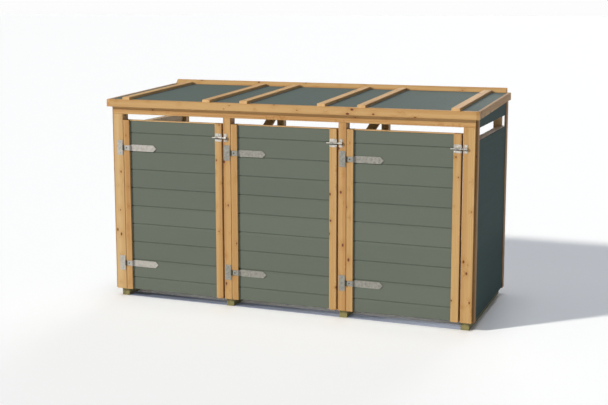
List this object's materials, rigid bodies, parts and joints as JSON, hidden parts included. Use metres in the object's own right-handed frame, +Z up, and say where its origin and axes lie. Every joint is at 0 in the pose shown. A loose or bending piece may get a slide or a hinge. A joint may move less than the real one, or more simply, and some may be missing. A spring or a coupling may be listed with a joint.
{
  "type": "wheelie bin store",
  "caption": "Timber wheelie bin store with a lean-to roof, board sides, an open braced rear and hinged board doors with sliding bolts.",
  "frame": {"origin": "on the ground, under the middle of the roof", "axes": "+X to the right along the front, +Y from the front to the rear, +Z up"},
  "size_m": [2.2, 0.872, 1.2427],
  "materials": {
    "planed_timber": "clear-stained planed softwood",
    "treated_timber": "pressure-treated, greenish",
    "door_board": "sage green wood paint, satin",
    "door_ledge": "clear-stained planed softwood",
    "side_board": "sage green wood paint, satin",
    "roof_sheet": "green painted sheet, slightly mottled",
    "roof_batten": "weathered planed softwood",
    "galvanised": "bright zinc-plated steel",
    "galvanised_strip": "dull galvanised steel"
  },
  "bodies": {
    "frame": {"barge_left": "planed_timber", "barge_right": "planed_timber", "bolt_keepers": "galvanised", "corner_post_left": "planed_timber", "corner_post_right": "planed_timber", "fascia": "planed_timber", "front_header": "planed_timber", "ground_strip": "galvanised_strip", "hinge_leaves_1": "galvanised", "hinge_leaves_2": "galvanised", "hinge_leaves_3": "galvanised", "middle_post_1": "planed_timber", "middle_post_2": "planed_timber", "rear_braces": "planed_timber", "rear_header": "planed_timber", "rear_kerb": "planed_timber", "rear_post_1": "planed_timber", "rear_post_2": "planed_timber", "rear_post_3": "planed_timber", "rear_post_4": "planed_timber", "roof_battens": "roof_batten", "roof_bearers": "planed_timber", "roof_sheet": "roof_sheet", "runner_1": "treated_timber", "runner_2": "treated_timber", "runner_3": "treated_timber", "runner_4": "treated_timber", "side_bottom_rails": "planed_timber", "side_middle_rails": "planed_timber", "side_panel_left": "side_board", "side_panel_right": "side_board", "side_strip_left": "side_board", "side_strip_right": "side_board", "side_top_rails": "planed_timber", "side_trims_left": "planed_timber", "side_trims_right": "planed_timber"},
    "door_1": {"bolt_1_plate": "galvanised", "door_1_boards": "door_board", "door_1_brace": "door_ledge", "door_1_ledges": "door_ledge", "door_1_stile_bolt": "planed_timber", "door_1_stile_hinge": "planed_timber", "hinge_straps_1": "galvanised"},
    "bolt_1": {"bolt_1_rod": "galvanised"},
    "door_2": {"bolt_2_plate": "galvanised", "door_2_boards": "door_board", "door_2_brace": "door_ledge", "door_2_ledges": "door_ledge", "door_2_stile_bolt": "planed_timber", "door_2_stile_hinge": "planed_timber", "hinge_straps_2": "galvanised"},
    "bolt_2": {"bolt_2_rod": "galvanised"},
    "door_3": {"bolt_3_plate": "galvanised", "door_3_boards": "door_board", "door_3_brace": "door_ledge", "door_3_ledges": "door_ledge", "door_3_stile_bolt": "planed_timber", "door_3_stile_hinge": "planed_timber", "hinge_straps_3": "galvanised"},
    "bolt_3": {"bolt_3_rod": "galvanised"}
  },
  "joints": [
    {"name": "door_1_hinge", "type": "hinge", "parent": "frame", "child": "door_1", "pos_m": [-1.01, -0.415, 0.55125], "axis": [0, 0, -1], "range_deg": [0, 170]},
    {"name": "bolt_1_slide", "type": "slide", "parent": "door_1", "child": "bolt_1", "axis": [1, 0, 0], "range_m": [-0.004, 0.016]},
    {"name": "door_2_hinge", "type": "hinge", "parent": "frame", "child": "door_2", "pos_m": [-0.321, -0.415, 0.55125], "axis": [0, 0, -1], "range_deg": [0, 170]},
    {"name": "bolt_2_slide", "type": "slide", "parent": "door_2", "child": "bolt_2", "axis": [1, 0, 0], "range_m": [-0.004, 0.016]},
    {"name": "door_3_hinge", "type": "hinge", "parent": "frame", "child": "door_3", "pos_m": [0.368, -0.415, 0.55125], "axis": [0, 0, -1], "range_deg": [0, 170]},
    {"name": "bolt_3_slide", "type": "slide", "parent": "door_3", "child": "bolt_3", "axis": [1, 0, 0], "range_m": [-0.004, 0.016]}
  ]
}
